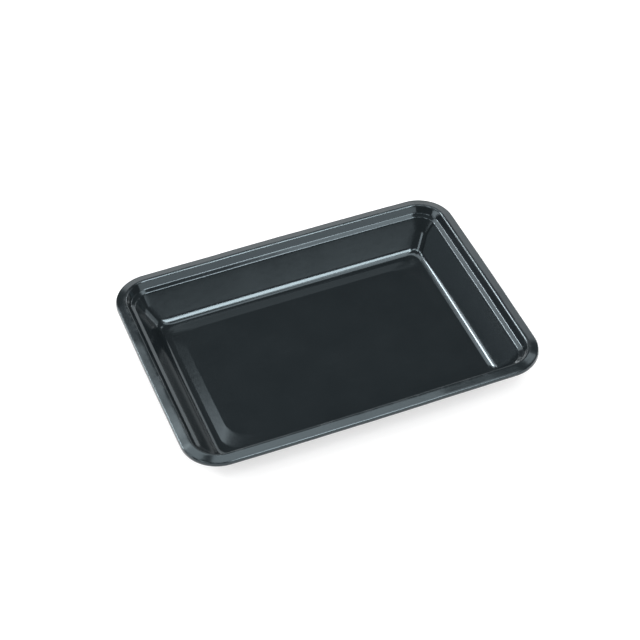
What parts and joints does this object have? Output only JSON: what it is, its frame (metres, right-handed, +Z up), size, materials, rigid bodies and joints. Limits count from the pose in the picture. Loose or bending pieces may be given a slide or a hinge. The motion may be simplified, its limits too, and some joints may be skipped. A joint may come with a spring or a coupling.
{
  "type": "plastic food tray",
  "caption": "Shallow rectangular thermoformed food tray with sloping walls, rounded corners, a stepped lid ledge and a turned-down rim.",
  "frame": {"origin": "on the standing surface, under the middle of the tray", "axes": "+X along the long side, +Y along the short side, +Z up out of the open top"},
  "size_m": [0.2, 0.1486, 0.0225],
  "materials": {
    "black_plastic": "thermoformed black sheet, semi-gloss, with soft highlights along its bends and a faint blue-green cast"
  },
  "bodies": {
    "root": {"tray": "black_plastic"}
  },
  "joints": []
}
